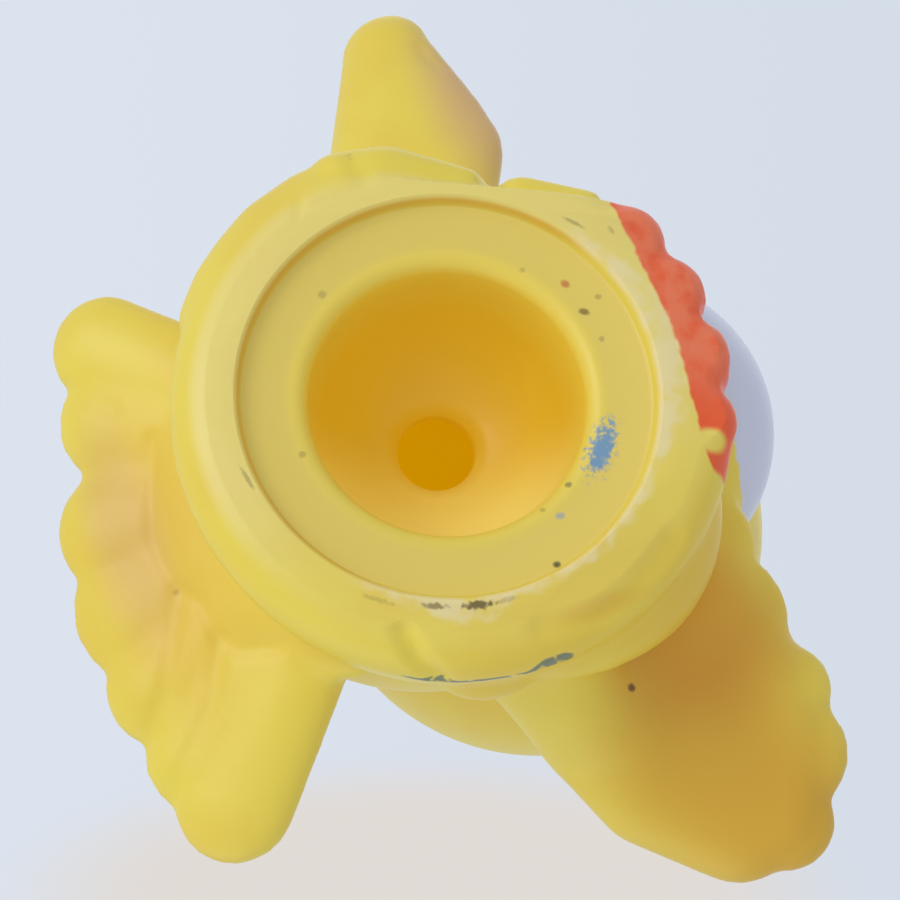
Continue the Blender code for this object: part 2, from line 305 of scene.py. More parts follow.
@dataclass
class Foot:
    """The round foot with its soft edge, its flat far side and its painted toes."""

    radius: float = 38.6
    centre: Pair = (0.4, -0.8)
    top: float = 14.0
    top_inset: float = 1.6
    sole: float = -1.2
    edge_width: float = 7.0
    edge_height: float = 6.3
    edge_middle: float = 6.0
    edge_angles: Pair = (0.0, -80.0)
    edge_points: int = 14
    steps: int = 200
    flat_distance: float = 31.0
    flat_direction: float = math.radians(202.0)
    toe_count: int = 4
    toe_pitch: float = math.radians(15.8)
    toe_ring: float = 33.9
    toe_middle: float = math.radians(-1.2)
    toe_half: Point = (5.7, 6.0, 4.8)
    toe_height: float = 3.6

    def base(self, inner: float) -> bpy.types.Object:
        """The turned foot, flattened on the far side.

        Args:
            inner: Radius of the sunk disc, where the flat ring starts.

        Returns:
            The closed foot, reaching a little below the ground.
        """
        middle = (self.radius - self.edge_width, self.edge_middle)
        edge = arc(middle, (self.edge_width, self.edge_height), *self.edge_angles, self.edge_points)
        upper = [(0.0, self.top), (self.radius - self.top_inset, self.top)]
        profile = upper + edge + [(inner, self.sole), (0.0, self.sole)]
        form = turned("foot", profile, self.steps, (self.centre[0], self.centre[1], 0.0))
        side = Vector((math.cos(self.flat_direction), math.sin(self.flat_direction), 0.0))
        heart = place((self.centre[0], self.centre[1], 0.0))
        for vert in form.data.vertices:
            beyond = (vert.co - heart).dot(side) - self.flat_distance * MM
            if beyond > 0.0:
                vert.co -= side * beyond
        return form

    def toes(self) -> list[bpy.types.Object]:
        """The scallops of the toes side by side round the front.

        Returns:
            One form for each toe.
        """
        made = []
        for index in range(self.toe_count):
            angle = self.toe_middle + (index - (self.toe_count - 1) / 2.0) * self.toe_pitch
            centre = (self.toe_ring * math.sin(angle), -self.toe_ring * math.cos(angle), self.toe_height)
            made.append(ball("toe", centre, self.toe_half, angle, TOE_SEGMENTS))
        return made


@dataclass
class Body:
    """Round body, rump, breast and the unlike thigh bulges, each form as centre and half sizes."""

    trunk: Form = ((-0.5, 0.0, 33.0), (32.5, 34.5, 34.0))
    rump: Form = ((-1.0, 12.0, 20.0), (27.0, 24.0, 9.5))
    breast: Form = ((1.9, -27.4, 37.0), (23.8, 24.0, 23.5))
    near_thigh: Form = ((15.0, -11.0, 16.0), (24.8, 24.0, 13.0))
    web_root: Form = ((30.4, 3.6, 17.0), (8.2, 9.4, 6.5))
    far_thigh: tuple[Form, ...] = (
        ((-36.9, 4.0, 10.5), (4.0, 4.2, 9.0)), ((-34.9, -3.0, 12.0), (5.6, 5.4, 11.0)),
        ((-29.9, -13.2, 11.0), (3.4, 3.4, 9.0)), ((-20.0, -4.0, 14.0), (8.0, 12.0, 10.0)),
    )
    far_heel: tuple[Form, ...] = (
        ((-27.5, -20.2, 9.5), (2.9, 3.4, 5.0)), ((-22.9, -28.8, 8.5), (2.0, 2.6, 4.5)),
    )
    far_flank: tuple[Point, ...] = (
        (-33.0, 7.9, 8.0), (-30.7, 14.3, 8.0), (-27.7, 18.7, 8.0),
        (-24.7, 22.2, 8.0), (-21.4, 24.8, 8.0), (-12.0, 8.0, 8.0),
    )
    flank_radius: float = 6.5

    def forms(self) -> list[bpy.types.Object]:
        """All the body's round forms.

        Returns:
            The closed forms, the thigh, heel and flank as hulls.
        """
        half = (self.flank_radius,) * 3
        flank = [ball("far flank ball", one, half, 0.0, SMALL_SEGMENTS) for one in self.far_flank]
        return [
            ball("trunk", *self.trunk),
            ball("rump", *self.rump),
            ball("breast", *self.breast),
            ball("near thigh", *self.near_thigh),
            ball("web root", *self.web_root),
            hull_of("far thigh", [ball("far thigh ball", *one) for one in self.far_thigh]),
            hull_of("far heel", [ball("far heel ball", *one) for one in self.far_heel]),
            hull_of("far flank", flank),
        ]


@dataclass
class Head:
    """Round head with a blunt beak and a low comb, plain because the photograph hides them."""

    centre: Point = (3.3, -18.9, 71.8)
    radius: float = 35.3
    beak_root: Point = (1.5, -48.6, 77.0)
    beak_tip: Point = (1.5, -54.6, 74.8)
    beak_root_radius: float = 7.0
    beak_tip_radius: float = 2.5
    comb_lobes: int = 3
    comb_pitch: float = 8.5
    comb_half: Point = (3.2, 5.6, 6.0)
    comb_rise: float = 1.5
    comb_sink: float = 1.5
    comb_forward: float = 4.0

    def forms(self) -> list[bpy.types.Object]:
        """The head ball, the beak and the comb's lobes.

        Returns:
            The closed forms.
        """
        made = [ball("head", self.centre, (self.radius,) * 3, 0.0, HEAD_SEGMENTS)]
        ends = [
            ball("beak root", self.beak_root, (self.beak_root_radius,) * 3, 0.0, SMALL_SEGMENTS),
            ball("beak tip", self.beak_tip, (self.beak_tip_radius,) * 3, 0.0, SMALL_SEGMENTS),
        ]
        made.append(hull_of("beak", ends))
        for index in range(self.comb_lobes):
            offset = (index - (self.comb_lobes - 1) / 2.0) * self.comb_pitch
            lean = offset / self.radius
            reach = self.radius + self.comb_rise
            along = self.centre[1] - self.comb_forward + reach * math.sin(lean)
            height = self.centre[2] + reach * math.cos(lean) - self.comb_sink
            centre = (self.centre[0], along, height)
            made.append(ball("comb lobe", centre, self.comb_half, 0.0, SMALL_SEGMENTS))
        return made


@dataclass
class Wing:
    """One wing: a puffy blade, a row of rounded feather ends and, on the near side, a web to the body."""

    side: Side
    blade: tuple[Disc, ...]
    tips: tuple[Disc, ...]
    root: Point
    slope: Pair
    web: tuple[Disc, ...] = ()
    web_slope: Pair = (0.0, 0.0)
    feather_start: float = 0.55
    feather_root: float = 0.8
    feather_thick: float = 4.2
    blade_thick: float = 5.2

    def forms(self) -> list[bpy.types.Object]:
        """The blade, the feathers and the web as closed forms.

        Returns:
            The closed forms.
        """
        made = [pad(f"{self.side.value} wing blade", self.blade, self.slope, self.blade_thick)]
        for tip, radius in self.tips:
            middle = tuple(r + (t - r) * self.feather_start for r, t in zip(self.root, tip))
            discs = ((middle, radius * self.feather_root), (tip, radius))
            made.append(pad(f"{self.side.value} wing feather", discs, self.slope, self.feather_thick))
        if self.web:
            made.append(pad(f"{self.side.value} wing web", self.web, self.web_slope, self.blade_thick))
        return made


NEAR_WING = Wing(
    side=Side.NEAR,
    blade=(
        ((31.0, -10.0, 36.0), 11.0), ((24.0, -31.0, 28.0), 6.6), ((34.3, -30.6, 31.4), 8.6),
        ((46.7, -37.3, 32.2), 4.2), ((55.0, -35.0, 35.1), 6.4), ((63.9, -32.7, 38.1), 4.4),
        ((60.6, -26.0, 39.5), 9.7), ((52.8, -15.6, 41.3), 8.3), ((43.4, -9.8, 41.0), 6.8),
    ),
    tips=(
        ((24.0, -31.6, 28.0), 8.3), ((34.3, -30.6, 31.4), 10.9), ((46.7, -37.3, 32.2), 6.6),
        ((55.0, -35.0, 35.1), 8.7), ((63.6, -31.9, 38.2), 7.2),
    ),
    root=(34.0, -15.0, 36.0),
    slope=(0.25, 0.35),
    web=(
        ((27.0, 2.0, 17.0), 7.0), ((32.0, -6.0, 26.0), 8.5),
        ((43.4, -9.8, 41.0), 7.0), ((46.0, -16.0, 39.5), 6.0),
    ),
    web_slope=(0.8, 0.25),
)

FAR_WING = Wing(
    side=Side.FAR,
    blade=(
        ((-32.0, -5.0, 36.0), 12.0), ((-40.3, -11.9, 38.4), 12.0), ((-52.4, -12.3, 41.4), 10.7),
        ((-68.9, -16.4, 43.9), 6.9), ((-53.2, -17.2, 39.7), 9.6), ((-47.6, -17.4, 38.3), 10.2),
        ((-62.0, -15.0, 43.0), 8.2),
    ),
    tips=(((-69.1, -16.4, 43.9), 7.2),),
    root=(-52.0, -14.0, 41.0),
    slope=(-0.25, 0.35),
)


@dataclass
class Tail:
    """Seven broad feathers that fan out behind the rump, a thinner blade and the short coverts."""

    tips: tuple[Disc, ...] = (
        ((-32.2, 39.8, 34.5), 8.1), ((-21.1, 40.7, 34.9), 9.5), ((-5.9, 45.6, 36.8), 9.4),
        ((6.1, 44.9, 36.6), 11.5), ((18.0, 46.2, 37.1), 8.9), ((29.2, 44.1, 36.3), 8.5),
        ((37.2, 41.7, 35.3), 9.1),
    )
    blade: tuple[Disc, ...] = (
        ((-31.0, 37.0, 33.5), 5.4), ((-21.0, 38.6, 34.0), 6.6), ((-6.0, 42.6, 35.6), 6.6),
        ((6.0, 43.0, 35.8), 8.4), ((18.0, 43.4, 36.0), 6.4), ((29.0, 41.0, 35.0), 6.0),
        ((36.0, 38.0, 33.8), 6.8), ((25.6, 30.0, 30.6), 7.0), ((-22.6, 29.7, 30.5), 7.2),
        ((0.0, 18.0, 25.0), 14.0),
    )
    coverts: tuple[Disc, ...] = (
        ((-7.6, 30.6, 27.8), 9.2), ((3.6, 31.6, 28.2), 10.6), ((-20.0, 20.0, 22.0), 9.0),
        ((20.0, 20.0, 22.0), 9.0),
    )
    covert_lobe: tuple[Disc, ...] = (((12.2, 31.2, 28.1), 7.4), ((14.0, 18.0, 22.0), 9.0))
    blade_thick: float = 3.6
    feather_thick: float = 4.2
    root_spread: float = 0.42
    root_y: float = 22.0
    root_z: float = 25.0
    root_radius: float = 7.5
    slope: Pair = (0.0, 0.4)

    def forms(self) -> list[bpy.types.Object]:
        """The blade, the coverts and the seven feathers.

        Returns:
            The closed forms.
        """
        made = [pad("tail blade", self.blade, self.slope, self.blade_thick)]
        made.append(pad("coverts", self.coverts, self.slope, self.feather_thick))
        made.append(pad("covert lobe", self.covert_lobe, self.slope, self.feather_thick))
        for tip, radius in self.tips:
            start = (tip[0] * self.root_spread, self.root_y, self.root_z)
            discs = ((start, self.root_radius), (tip, radius))
            made.append(pad("tail feather", discs, self.slope, self.feather_thick))
        return made


@dataclass
class Underside:
    """What is sunk into the foot: the shallow disc, the round-lipped cup and the air hole."""

    step_radius: float = 28.5
    step_depth: float = 2.2
    step_wall: tuple[Pair, ...] = ((-1.1, 1.0), (-0.5, 0.86), (-0.1, 0.5), (0.2, 0.14), (0.7, -0.05))
    cup_radius: float = 19.0
    cup_lip: float = 2.4
    cup_depth: float = 26.0
    lip_angles: Pair = (180.0, 270.0)
    dome_angles: Pair = (74.5, 3.0)
    crown_angles: Pair = (70.0, 8.0)
    hole_radius: float = 5.5
    hole_reach: float = 14.0
    hole_edge: Pair = (0.7, 0.9)
    hole_edge_angles: Pair = (180.0, 235.0)
    hole_start: float = 0.4
    cutter_margin: float = 1.2
    cutter_low: float = -6.0
    wall: float = 2.6
    floor_gap: float = 0.6
    plug_corner: float = 1.5
    plug_radius: float = 45.0
    plug_low: float = -8.0

    def cutter(self) -> bpy.types.Object:
        """One turned cutter for the disc, the cup and the hole.

        Returns:
            The closed cutter.
        """
        base = self.step_depth + self.cup_lip
        lip = arc((self.cup_radius + self.cup_lip, base), (self.cup_lip,) * 2, *self.lip_angles, 14)
        dome = arc((0.0, base), (self.cup_radius, self.cup_depth - base), *self.dome_angles, 28)
        rim = self.hole_radius
        top = self.cup_depth + self.hole_reach
        start = self.cup_depth + self.hole_start
        profile = [(0.0, top), (rim, top), (rim, start)]
        profile += arc((rim + self.hole_edge[0], start), self.hole_edge, *self.hole_edge_angles, 5)[1:]
        profile += [point for point in dome if point[0] > rim + self.hole_edge[1]] + lip
        for outward, share in self.step_wall:
            profile.append((self.step_radius + outward, self.step_depth * share))
        profile += [(self.step_radius + self.cutter_margin, self.cutter_low), (0.0, self.cutter_low)]
        return turned("underside cutter", profile, 240)

    def hollow(self, body: Body, head: Head) -> bpy.types.Object:
        """The hollow inside body and head, clear of the cup's wall and the foot's floor.

        Args:
            body: The body, whose trunk gives the hollow's lower ball.
            head: The head, which gives the upper ball.

        Returns:
            The closed hollow as a cutter.
        """
        centre, half = body.trunk
        lower = ball("hollow", centre, tuple(size - self.wall for size in half))
        upper = ball("head hollow", head.centre, (head.radius - self.wall,) * 3)
        base = self.step_depth + self.cup_lip
        outside = self.cup_radius + self.wall
        crown = arc((0.0, base), (outside, self.cup_depth + self.wall - base), *self.crown_angles, 16)
        floor = self.step_depth + self.wall + self.floor_gap
        profile = [(0.0, self.cup_depth + self.wall)] + crown
        profile += [(outside + self.plug_corner, floor), (self.plug_radius, floor)]
        profile += [(self.plug_radius, self.plug_low), (0.0, self.plug_low)]
        plug = turned("cup wall", profile, 96)
        apply_modifier(lower, "BOOLEAN", operation="UNION", solver="EXACT", object=upper)
        apply_modifier(lower, "BOOLEAN", operation="DIFFERENCE", solver="EXACT", object=plug)
        bpy.data.objects.remove(upper, do_unlink=True)
        bpy.data.objects.remove(plug, do_unlink=True)
        return lower


@dataclass(frozen=True)
class Groove:
    """A soft groove pressed into the skin along a path, in millimetres from the foot's axis."""

    path: tuple[Point, ...]
    width: float
    depth: float

    def press(self, skin: bpy.types.Object) -> None:
        """Push the skin in along the path.

        Args:
            skin: The skin, still without its hollow and its underside cuts.
        """
        tree = KDTree(len(skin.data.vertices))
        for vert in skin.data.vertices:
            tree.insert(vert.co, vert.index)
        tree.balance()
        nearest: dict[int, float] = {}
        reach = self.width * MM
        for start, end in zip(self.path, self.path[1:]):
            first, last = place(start), place(end)
            steps = max(2, round((last - first).length / GROOVE_STEP))
            for index in range(steps + 1):
                for _, vert, apart in tree.find_range(first.lerp(last, index / steps), reach):
                    nearest[vert] = min(apart, nearest.get(vert, reach))
        group = skin.vertex_groups.new(name="groove")
        for vert, apart in nearest.items():
            group.add([vert], (1.0 - (apart / reach) ** 2) ** 2, "REPLACE")
        apply_modifier(
            skin, "DISPLACE",
            direction="NORMAL", mid_level=0.0, strength=-self.depth * MM, vertex_group=group.name,
        )
        skin.vertex_groups.clear()


GROOVES = (
    Groove(((-28.2, 46.5, 35.3), (-21.7, 41.9, 30.7)), 2.4, 0.3),
    Groove(((34.3, 50.0, 36.4), (23.8, 40.9, 29.8), (16.3, 37.4, 28.2)), 2.4, 0.4),
    Groove(((25.2, 51.0, 36.7), (19.8, 46.5, 32.7), (7.7, 41.1, 30.0)), 2.4, 0.4),
    Groove(
        (
            (-14.9, 37.7, 28.5), (-1.2, 41.9, 30.6), (7.2, 40.7, 29.6), (10.0, 38.3, 28.2),
            (15.5, 37.6, 28.0), (18.9, 35.2, 27.0), (20.6, 30.0, 24.0),
        ),
        2.0, 0.5,
    ),
    Groove(((-11.6, -37.6, 0.4), (-11.6, -37.6, 8.5)), 2.4, 0.7),
    Groove(((-0.7, -39.2, 0.4), (-0.7, -39.2, 8.5)), 2.6, 1.7),
    Groove(((10.2, -37.9, 0.4), (10.2, -37.9, 8.5)), 2.4, 1.0),
    Groove(((29.8, 16.3, 0.1), (33.3, 15.6, 1.8), (36.3, 13.2, 5.0)), 2.4, 1.0),
    Groove(((34.2, -1.8, 0.2), (35.4, -9.3, 1.0), (33.4, -14.9, 1.0), (28.5, -21.9, 0.8)), 3.4, 0.7),
    Groove(((-66.5, -20.8, 38.0), (-64.1, -21.1, 37.1), (-62.4, -22.0, 36.7)), 2.0, 0.4),
    Groove(((-35.0, 9.9, 3.0), (-31.2, 11.2, 0.0), (-27.5, 12.3, 0.0)), 1.3, 0.35),
    Groove(((-37.5, 1.4, 2.6), (-32.1, 1.3, 0.0)), 2.2, 0.4),
)


@dataclass(frozen=True)
class Mark:
    """One small worn or dirty spot on the rubber, in millimetres from the foot's axis."""

    centre: Point
    half: Pair
    turn: float
    colour: Colour
    strength: float = 0.8
    broken: float = 0.35


class Hue(Enum):
    """Tones laid in patches over the plain yellow, most of them painted shade."""

    WARM = "warm_tone_and_shade"
    GOLD = "near_wing_shade"
    SHADE = "shade"
    PINK = "pink_tone_and_shade"


@dataclass(frozen=True)
class RubberFinish:
    """Colours and gloss of the yellow rubber and of the paint on it, with painted shade, sheen, highlight
    and glow among them, colours as read on a screen.
    """

    rubber: Colour = (241, 220, 84)
    # Warm tone: random mottling, painted shade by the near body's side, and a warmer tail
    warm_tone_and_shade: Colour = (236, 190, 62)
    # Painted shade: the near wing, darker where the foot and body shade it
    near_wing_shade: Colour = (222, 172, 48)
    # Painted shade: the step's wall, the near wing's root by the foot and the fold by the near foot
    shade: Colour = (222, 152, 36)
    # Pink tone: painted shade on the far wing's front edge, and a pinker tail
    pink_tone_and_shade: Colour = (222, 184, 122)
    disc: Colour = (237, 213, 102)
    # Painted sheen: the flat ring paler, as a broad reflection leaves it
    pale: Colour = (244, 228, 146)
    # Painted highlight: a glint along the lip of the step
    lip_glint: Colour = (246, 230, 172)
    # Painted shade: the inside of the cup a deeper orange, as in a recess
    cup: Colour = (230, 188, 44)
    # Painted light: the cup's lower side paler, where the light falls
    cup_painted_light: Colour = (250, 234, 136)
    # Painted light: glows in place of light through the thin rubber, into the cup and the hollow
    cup_glow: Colour = (88, 64, 0)
    hollow_glow: Colour = (108, 88, 0)
    toe_paint: Colour = (244, 94, 42)
    toe_thin: Colour = (246, 126, 86)
    # White paint with a bluish cast, partly a painted reflection of the pale blue backdrop
    breast_paint_and_reflection: Colour = (214, 222, 248)
    line_paint: Colour = (84, 116, 112)
    eye_paint: Colour = (34, 30, 28)
    roughness: float = 0.42
    grain_noise: Pair = (0.5, 4.0)
    grain_strength: float = 0.12
    grain_depth: float = 0.0004
    marks: tuple[Mark, ...] = ()

    def hue(self, hue: Hue) -> Colour:
        """The colour of one of the tones laid in patches."""
        known = {Hue.WARM: self.warm_tone_and_shade, Hue.GOLD: self.near_wing_shade, Hue.SHADE: self.shade, Hue.PINK: self.pink_tone_and_shade}
        return known[hue]


@dataclass(frozen=True)
class PaintPlan:
    """Where each tone begins and ends on the hen.

    Lengths are in millimetres. Angles go round the foot from its front, in radians. A fade is the
    range of a mask: zero at its first value and one at its second. A band is a middle and a half
    width. A noise is a scale and a detail. A share says how much of a tone is laid on.
    """

    # How much of a band's half width its mask is full over
    band_core: float = 0.25
    # Soft random patches in the bare rubber, and the fade of the patches of painted shade and other tones
    wobble_noise: Pair = (0.35, 3.0)
    patch_noise: Pair = (0.045, 2.0)
    patch_fade: Pair = (0.42, 0.66)
    patch_share: float = 0.3
    place_fade: Pair = (1.0, 0.25)
    # The flat ring's painted sheen, paler as a broad reflection leaves it, radii from the step's
    flat_fade: Pair = (1.6, 0.2)
    ring_fade: Pair = (-0.6, 0.4)
    pale_near_fade: Pair = (2.0, 24.0)
    pale_near_loss: float = 0.75
    pale_far_fade: Pair = (-36.0, -31.0)
    pale_share: float = 0.6
    # Painted highlight: the glint along the step's lip, widest at the front and at one side
    front_band: Pair = radians(4.0, 38.0)
    front_width: float = 2.6
    side_band: Pair = radians(105.0, 16.0)
    side_width: float = 2.4
    glint_breakup_noise: Pair = (0.35, 2.5)
    glint_breakup_width: float = 3.4
    glint_width: float = 1.1
    glint_fade: Pair = (0.9, -0.7)
    glint_start: Pair = (-0.75, -0.45)
    glint_stop: Pair = (2.45, 2.1)
    glint_noise: Pair = (0.25, 3.0)
    glint_noise_fade: Pair = (0.25, 0.55)
    glint_share: float = 0.85
    # Painted shade on the step's wall, and the sunk disc, radii from the step's
    riser_band: Pair = (-0.1, 0.9)
    riser_height: Pair = (1.1, 1.1)
    riser_share: float = 0.5
    disc_fade: Pair = (0.0, -0.8)
    disc_height: Pair = (6.0, 4.0)
    # The cup: painted shade inside, as a deeper orange, and painted light on its lower side, radii from its
    # mouth's and its start from the step's depth
    lip_band: Pair = (0.6, 3.0)
    lip_top: Pair = (12.0, 7.0)
    lip_low: Pair = (1.2, 2.0)
    lip_share: float = 0.6
    cup_slant: Pair = (0.90, 0.28)
    cup_slant_fade: Pair = (-3.0, 15.0)
    cup_fade: Pair = (1.6, -2.4)
    cup_start: Pair = (0.2, 6.0)
    cup_top: Pair = (60.0, 50.0)
    # The orange paint of the toes and the bare spot in it
    toe_radius: float = 32.1
    toe_bend: Pair = (6.0, 22.0)
    toe_jitter: float = 1.4
    toe_edge_fade: Pair = (-0.25, 0.3)
    toe_start: Pair = radians(-34.0, -33.0)
    toe_stop: Pair = radians(35.0, 33.5)
    toe_stop_jitter: float = 0.05
    toe_top: Pair = (8.6, 7.8)
    spot_centre: Point = (17.0, -31.8, 0.0)
    spot_half: Point = (1.8, 2.8, 4.0)
    spot_turn: float = 0.5
    spot_fade: Pair = (0.55, 1.15)
    thin_height: Pair = (2.6, 0.2)
    thin_angle: Pair = radians(26.0, 6.0)
    thin_noise: Pair = (0.35, 3.0)
    thin_noise_fade: Pair = (0.20, 0.60)
    # The white paint of the breast
    breast_centre: Point = (2.0, 0.0, 38.0)
    breast_half: Point = (21.0, 400.0, 21.0)
    breast_front: Pair = (-34.0, -35.0)
    breast_jitter: float = 0.05
    breast_fade: Pair = (1.0, 0.98)
    # The blue line, which rises and sinks and grows thicker at its two ends
    line_first: Pair = radians(110.0, 9.0)
    line_last: Pair = radians(87.0, 6.5)
    line_lifts: Pair = (0.7, -1.2)
    line_height: float = 5.6
    line_growth: Pair = (0.2, 0.65)
    line_half: float = 0.3
    line_fade: Pair = (0.3, -0.1)
    line_start: Pair = radians(82.5, 83.5)
    line_stop: Pair = radians(119.0, 115.0)
    line_noise: Pair = (0.6, 4.0)
    line_noise_fade: Pair = (0.32, 0.46)
    line_radius: Pair = (34.0, 36.0)
    line_share: float = 0.85
    # Comb, beak and eyes
    comb_fade: Pair = (1.012, 1.018)
    comb_height: Pair = (98.0, 99.0)
    beak_lift: float = 0.8
    beak_half: Point = (6.6, 9.0, 5.6)
    beak_fade: Pair = (1.0, 0.97)
    eye_offset: Point = (13.5, -30.0, 14.0)
    eye_half: Point = (3.0, 5.0, 3.6)
    eye_fade: Pair = (1.0, 0.95)
    # Specks and scuffs
    mark_noise: Pair = (1.6, 5.0)
    mark_height: float = 3.0
    mark_break: float = 6.0
    mark_fade: Pair = (1.35, 0.5)
    # Painted light: a glow that stands in for light through the thin rubber
    hollow_fade: Pair = (1.03, 1.01)
    hollow_height: Pair = (25.0, 29.0)
    glow_slant: Pair = (0.32, -0.94)
    glow_fade: Pair = (0.0, 18.0)
    glow_loss: float = 0.75
    lip_glow: float = 0.4


class Graph:
    """Short ways to add shader nodes to one material or world."""

    def __init__(self, owner: bpy.types.Material | bpy.types.World) -> None:
        """Start with the node tree of a material or a world."""
        self.tree = owner.node_tree

    def node(self, kind: str, **settings: object) -> bpy.types.Node:
        """Add a node and set its properties.

        Args:
            kind: Blender's name of the node type.
            **settings: Values set on the node.

        Returns:
            The new node.
        """
        made = self.tree.nodes.new(kind)
        for name, value in settings.items():
            setattr(made, name, value)
        return made

    def feed(self, socket: Socket, value: object) -> None:
        """Link a socket to another one, or set its value.

        Args:
            socket: The input to feed.
            value: A socket or a plain value.
        """
        if isinstance(value, Socket):
            self.tree.links.new(value, socket)
        else:
            socket.default_value = value

    def math(self, operation: str, first: object, second: object = 0.0) -> Socket:
        """One Math node.

        Args:
            operation: Blender's name of the operation.
            first: First value or socket.
            second: Second value or socket.

        Returns:
            The node's output socket.
        """
        made = self.node("ShaderNodeMath", operation=operation)
        self.feed(made.inputs[0], first)
        self.feed(made.inputs[1], second)
        return made.outputs[0]

    def ramp(self, value: object, low: float, high: float) -> Socket:
        """Rise smoothly from zero at low to one at high.

        Args:
            value: Value or socket.
            low: Where the result is zero.
            high: Where the result is one.

        Returns:
            The smooth mask.
        """
        made = self.node("ShaderNodeMapRange", interpolation_type="SMOOTHSTEP")
        self.feed(made.inputs["Value"], value)
        made.inputs["From Min"].default_value = low
        made.inputs["From Max"].default_value = high
        return made.outputs["Result"]

    def product(self, *values: object) -> Socket:
        """Multiply several values.

        Args:
            *values: Values or sockets, the first one a socket.

        Returns:
            Their product.
        """
        found = values[0]
        for value in values[1:]:
            found = self.math("MULTIPLY", found, value)
        return found

    def total(self, *values: object) -> Socket:
        """Add several values.

        Args:
            *values: Values or sockets, the first one a socket.

        Returns:
            Their sum.
        """
        found = values[0]
        for value in values[1:]:
            found = self.math("ADD", found, value)
        return found

    def rest(self, value: object) -> Socket:
        """One minus a value."""
        return self.math("SUBTRACT", 1.0, value)

    def distance(self, first: object, second: object) -> Socket:
        """Length of a flat step with these two parts."""
        squares = [self.math("POWER", part, 2.0) for part in (first, second)]
        return self.math("SQRT", self.total(*squares))

    def mix(self, amount: object, first: object, second: object) -> Socket:
        """Mix two colours.

        Args:
            amount: Share of the second colour.
            first: First colour or socket.
            second: Second colour or socket.

        Returns:
            The mixed colour.
        """
        made = self.node("ShaderNodeMix", data_type="RGBA")
        self.feed(made.inputs[0], amount)
        self.feed(made.inputs[6], first)
        self.feed(made.inputs[7], second)
        return made.outputs[2]

    def paint(self, colour: object, amount: object, tone: Colour) -> Socket:
        """Lay a screen colour over a colour by an amount."""
        return self.mix(amount, colour, linear(*tone))

    def noise(self, vector: Socket, scale: float, detail: float) -> Socket:
        """Noise between zero and one on a vector.

        Args:
            vector: Where the noise is read.
            scale: Scale of the noise.
            detail: Detail of the noise.

        Returns:
            The noise.
        """
        made = self.node("ShaderNodeTexNoise")
        self.feed(made.inputs["Vector"], vector)
        made.inputs["Scale"].default_value = scale
        made.inputs["Detail"].default_value = detail
        return made.outputs["Fac"]


@dataclass(frozen=True)
class Patch:
    """A place where another tone, most often painted shade, is laid over the rubber, in millimetres from the
    foot's axis.
    """

    centre: Point
    half: Point
    hue: Hue
    share: float


TONE_AND_SHADE_PATCHES = (
    # Painted shade: the near wing, darker where the foot and body shade it
    Patch((50.0, -24.0, 34.0), (32.0, 22.0, 24.0), Hue.GOLD, 0.9),
    Patch((62.0, -32.0, 37.0), (20.0, 16.0, 16.0), Hue.GOLD, 0.9),
    # Painted shade: the near wing's root by the foot, the near body's side and the fold by the near foot
    Patch((37.0, -27.0, 26.0), (18.0, 17.0, 13.0), Hue.SHADE, 0.6),
    Patch((30.0, -22.0, 20.0), (16.0, 22.0, 18.0), Hue.WARM, 0.6),
    Patch((34.2, -11.0, 1.2), (2.4, 11.0, 2.4), Hue.SHADE, 0.28),
    # Warmer and pinker tones on the tail
    Patch((2.0, 42.0, 30.0), (38.0, 12.0, 16.0), Hue.WARM, 0.55),
    Patch((-4.0, 45.0, 32.0), (24.0, 8.0, 12.0), Hue.PINK, 0.45),
    # Painted shade, pinkish, on the far wing's front edge
    Patch((-54.0, -27.0, 37.0), (28.0, 13.0, 22.0), Hue.PINK, 1.0),
)


